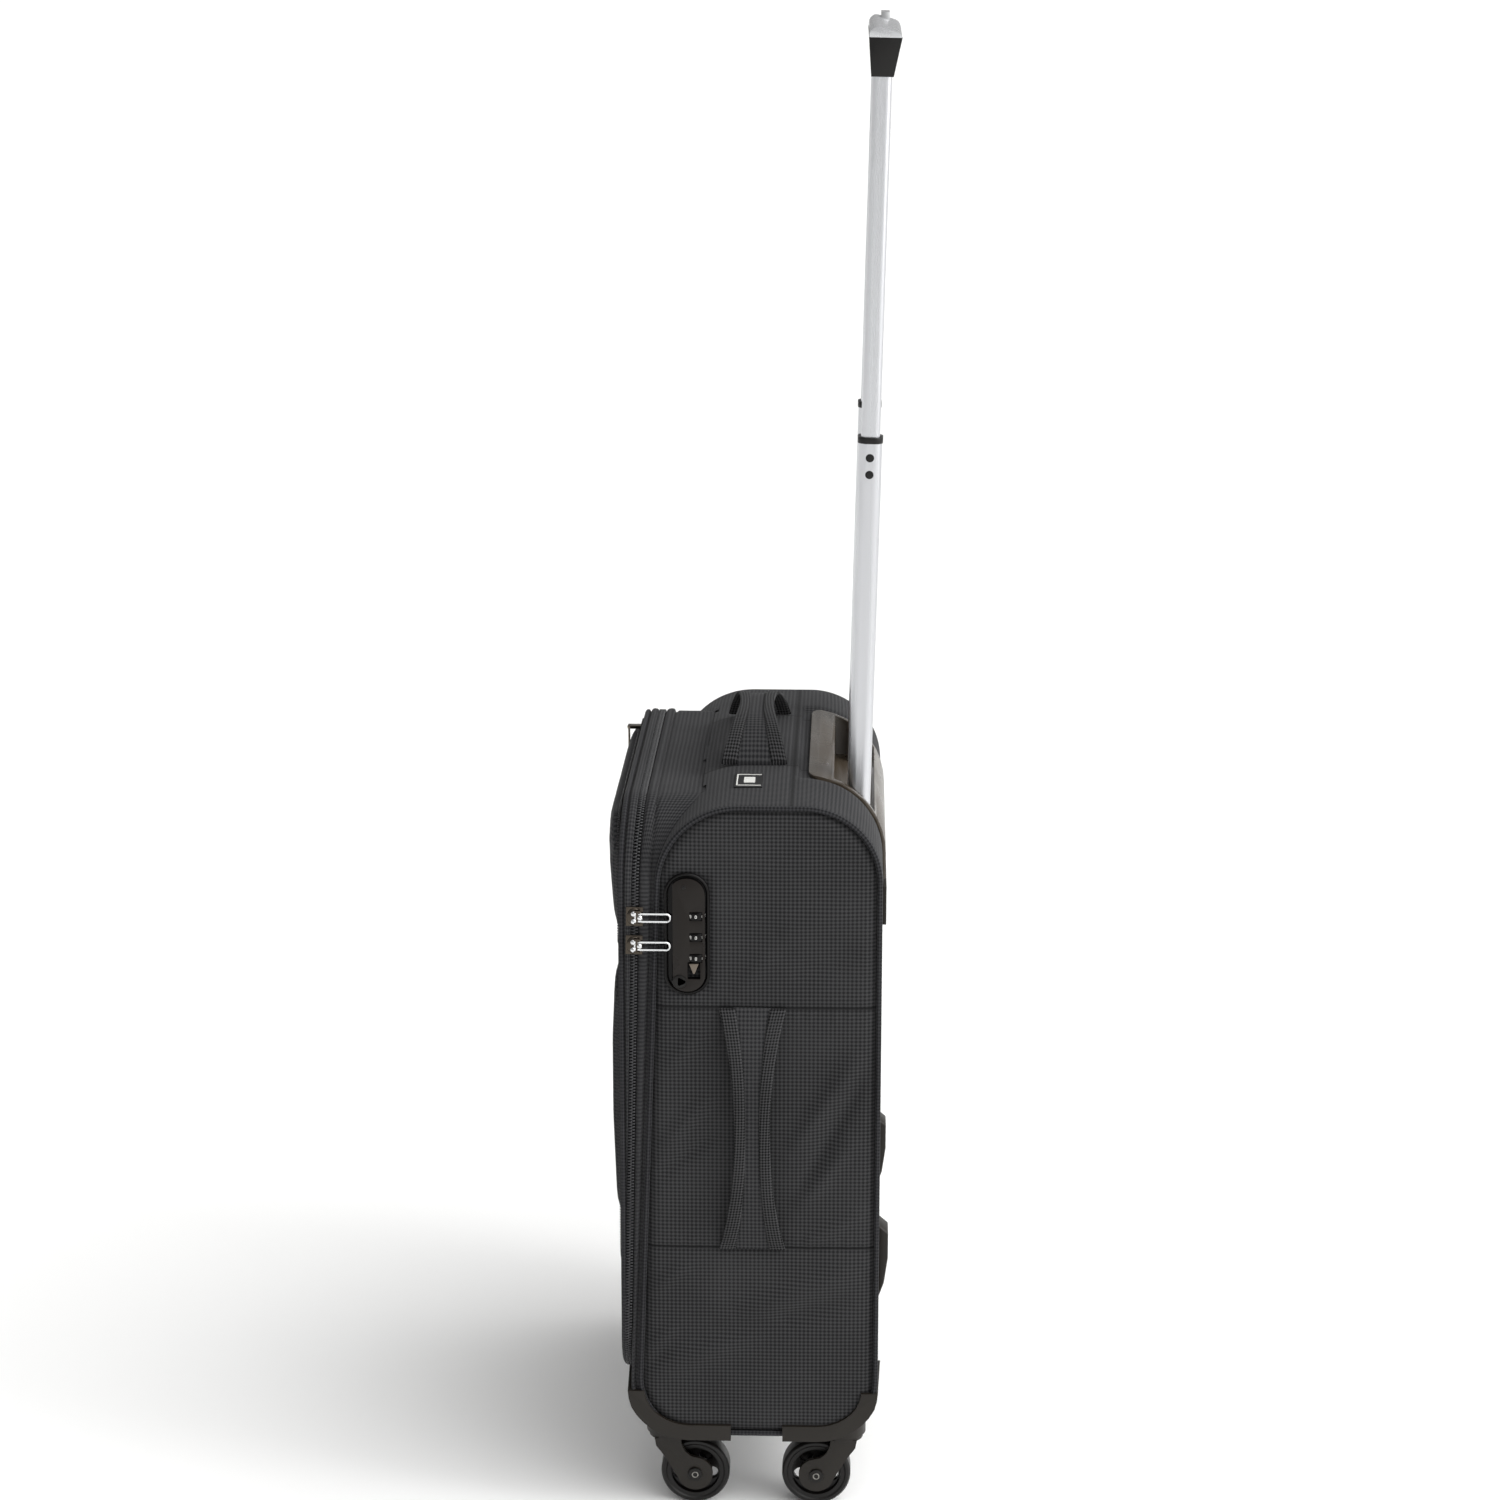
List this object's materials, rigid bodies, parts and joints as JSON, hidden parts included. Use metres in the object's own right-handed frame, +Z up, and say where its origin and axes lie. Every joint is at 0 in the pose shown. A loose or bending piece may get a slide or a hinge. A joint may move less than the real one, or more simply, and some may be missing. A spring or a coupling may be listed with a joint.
{
  "type": "suitcase",
  "caption": "Softside upright suitcase with a zip front, two front pockets, side lock, carry handles, swivel casters and a telescopic trolley handle.",
  "frame": {"origin": "on the floor under the middle of the case", "axes": "+X to the side with the lock and side handle, -Y to the pockets, +Y to the trolley tubes, +Z up"},
  "size_m": [0.3713, 0.2068, 1.083],
  "materials": {
    "ripstop": "coated checked ripstop, matt",
    "plain_canvas": "plain woven canvas, matt",
    "piping_rib": "woven piping, semi matt",
    "lining_cloth": "plain taffeta",
    "fibre_board": "rough board",
    "spring_steel": "painted strip",
    "moulded_plastic": "fine moulded texture",
    "lock_plastic": "satin",
    "tube_aluminium": "satin anodised",
    "grip_silver": "silver painted plastic",
    "polished_chrome": "polished",
    "nickel": "dark nickel plate",
    "plain_steel": "zinc plated",
    "zip_tape": "woven tape and nylon coil",
    "wheel_rubber": "smooth"
  },
  "bodies": {
    "case": {"side_panel_right": "ripstop", "side_panel_left": "ripstop", "top_gusset": "ripstop", "back_panel": "plain_canvas", "bottom_panel": "plain_canvas", "front_frame": "ripstop", "piping": "piping_rib", "lining": "lining_cloth", "back_board": "fibre_board", "frame_hoops": "spring_steel", "base_tray": "fibre_board", "corner_guards": "moulded_plastic", "trolley_housing": "moulded_plastic", "outer_tubes": "tube_aluminium", "trolley_foot": "moulded_plastic", "back_skids": "moulded_plastic", "tag_holder": "moulded_plastic", "top_handle": "ripstop", "side_handle": "ripstop", "side_feet": "moulded_plastic", "lock_case": "lock_plastic", "screws": "plain_steel", "zip_tape_case": "zip_tape"},
    "lid": {"lid_shell": "ripstop", "zip_tape_lid": "zip_tape", "upper_pocket": "ripstop", "lower_pocket": "ripstop", "pocket_zips": "zip_tape", "lid_lining": "lining_cloth"},
    "dial_upper": {"dial_upper": "lock_plastic"},
    "dial_middle": {"dial_middle": "lock_plastic"},
    "dial_lower": {"dial_lower": "lock_plastic"},
    "lock_release": {"lock_release": "nickel"},
    "key_plug": {"key_plug": "nickel"},
    "slider_upper": {"slider_upper": "nickel"},
    "slider_lower": {"slider_lower": "nickel"},
    "puller_upper": {"puller_upper": "polished_chrome"},
    "puller_lower": {"puller_lower": "polished_chrome"},
    "pocket_slider_upper": {"pocket_slider_upper": "nickel"},
    "pocket_slider_lower": {"pocket_slider_lower": "nickel"},
    "pocket_puller_upper": {"pocket_puller_upper": "nickel"},
    "pocket_puller_lower": {"pocket_puller_lower": "nickel"},
    "middle_stage": {"middle_tubes": "tube_aluminium", "tube_collars": "moulded_plastic"},
    "upper_stage": {"inner_tubes": "tube_aluminium", "grip_sleeves": "moulded_plastic", "grip": "grip_silver"},
    "grip_button": {"grip_button": "polished_chrome"},
    "caster_front_right": {"fork_front_right": "moulded_plastic", "axle_front_right": "plain_steel"},
    "wheel_front_right": {"wheel_front_right": "wheel_rubber"},
    "caster_front_left": {"fork_front_left": "moulded_plastic", "axle_front_left": "plain_steel"},
    "wheel_front_left": {"wheel_front_left": "wheel_rubber"},
    "caster_rear_right": {"fork_rear_right": "moulded_plastic", "axle_rear_right": "plain_steel"},
    "wheel_rear_right": {"wheel_rear_right": "wheel_rubber"},
    "caster_rear_left": {"fork_rear_left": "moulded_plastic", "axle_rear_left": "plain_steel"},
    "wheel_rear_left": {"wheel_rear_left": "wheel_rubber"}
  },
  "joints": [
    {"name": "lid_hinge", "type": "hinge", "parent": "case", "child": "lid", "pos_m": [-0.1725, -0.08313, 0.31194], "axis": [0, -0.0227, -0.9997], "range_deg": [0, 150]},
    {"name": "slider_upper_slide", "type": "slide", "parent": "case", "child": "slider_upper", "axis": [0, 0.0227, 0.9997], "range_m": [0, 0.014]},
    {"name": "slider_lower_slide", "type": "slide", "parent": "case", "child": "slider_lower", "axis": [0, 0.0227, 0.9997], "range_m": [-0.28, 0]},
    {"name": "puller_upper_hinge", "type": "hinge", "parent": "slider_upper", "child": "puller_upper", "pos_m": [0.1768, -0.07769, 0.46346], "axis": [0, -0.0227, -0.9997], "range_deg": [0, 160]},
    {"name": "puller_lower_hinge", "type": "hinge", "parent": "slider_lower", "child": "puller_lower", "pos_m": [0.1768, -0.07817, 0.44245], "axis": [0, -0.0227, -0.9997], "range_deg": [0, 160]},
    {"name": "pocket_slider_upper_slide", "type": "slide", "parent": "lid", "child": "pocket_slider_upper", "axis": [1, 0, 0], "range_m": [0, 0.21]},
    {"name": "pocket_puller_upper_hinge", "type": "hinge", "parent": "pocket_slider_upper", "child": "pocket_puller_upper", "pos_m": [-0.105, -0.10149, 0.53078], "axis": [-1, 0, 0], "range_deg": [0, 150]},
    {"name": "pocket_slider_lower_slide", "type": "slide", "parent": "lid", "child": "pocket_slider_lower", "axis": [1, 0, 0], "range_m": [0, 0.21]},
    {"name": "pocket_puller_lower_hinge", "type": "hinge", "parent": "pocket_slider_lower", "child": "pocket_puller_lower", "pos_m": [-0.105, -0.09671, 0.42278], "axis": [-1, 0, 0], "range_deg": [0, 150]},
    {"name": "dial_upper_turn", "type": "hinge", "parent": "case", "child": "dial_upper", "pos_m": [0.1726, -0.036, 0.465], "axis": [0, 0, 1], "continuous": true},
    {"name": "dial_middle_turn", "type": "hinge", "parent": "case", "child": "dial_middle", "pos_m": [0.1726, -0.036, 0.4495], "axis": [0, 0, 1], "continuous": true},
    {"name": "dial_lower_turn", "type": "hinge", "parent": "case", "child": "dial_lower", "pos_m": [0.1726, -0.036, 0.434], "axis": [0, 0, 1], "continuous": true},
    {"name": "lock_release_slide", "type": "slide", "parent": "case", "child": "lock_release", "axis": [0, 0, -1], "range_m": [0, 0.0035], "stiffness_N_per_m": 200},
    {"name": "key_plug_turn", "type": "hinge", "parent": "case", "child": "key_plug", "pos_m": [0.1725, -0.048, 0.4165], "axis": [1, 0, 0], "range_deg": [0, 90]},
    {"name": "middle_stage_slide", "type": "slide", "parent": "case", "child": "middle_stage", "axis": [0, 0.0234, 0.9997], "range_m": [-0.273, 0]},
    {"name": "upper_stage_slide", "type": "slide", "parent": "middle_stage", "child": "upper_stage", "axis": [0, 0.0234, 0.9997], "range_m": [-0.249, 0]},
    {"name": "grip_button_press", "type": "slide", "parent": "upper_stage", "child": "grip_button", "axis": [0, -0.0234, -0.9997], "range_m": [0, 0.0035], "stiffness_N_per_m": 900, "springref_m": -0.001},
    {"name": "swivel_front_right", "type": "hinge", "parent": "case", "child": "caster_front_right", "pos_m": [0.15, -0.0595, 0.055], "axis": [0, 0, 1], "continuous": true},
    {"name": "roll_front_right", "type": "hinge", "parent": "caster_front_right", "child": "wheel_front_right", "pos_m": [0.15, -0.039, 0.0255], "axis": [1, 0, 0], "continuous": true},
    {"name": "swivel_front_left", "type": "hinge", "parent": "case", "child": "caster_front_left", "pos_m": [-0.15, -0.0595, 0.055], "axis": [0, 0, 1], "continuous": true},
    {"name": "roll_front_left", "type": "hinge", "parent": "caster_front_left", "child": "wheel_front_left", "pos_m": [-0.15, -0.039, 0.0255], "axis": [1, 0, 0], "continuous": true},
    {"name": "swivel_rear_right", "type": "hinge", "parent": "case", "child": "caster_rear_right", "pos_m": [0.15, 0.0715, 0.055], "axis": [0, 0, 1], "continuous": true},
    {"name": "roll_rear_right", "type": "hinge", "parent": "caster_rear_right", "child": "wheel_rear_right", "pos_m": [0.15, 0.051, 0.0255], "axis": [1, 0, 0], "continuous": true},
    {"name": "swivel_rear_left", "type": "hinge", "parent": "case", "child": "caster_rear_left", "pos_m": [-0.15, 0.0715, 0.055], "axis": [0, 0, 1], "continuous": true},
    {"name": "roll_rear_left", "type": "hinge", "parent": "caster_rear_left", "child": "wheel_rear_left", "pos_m": [-0.15, 0.051, 0.0255], "axis": [1, 0, 0], "continuous": true}
  ]
}
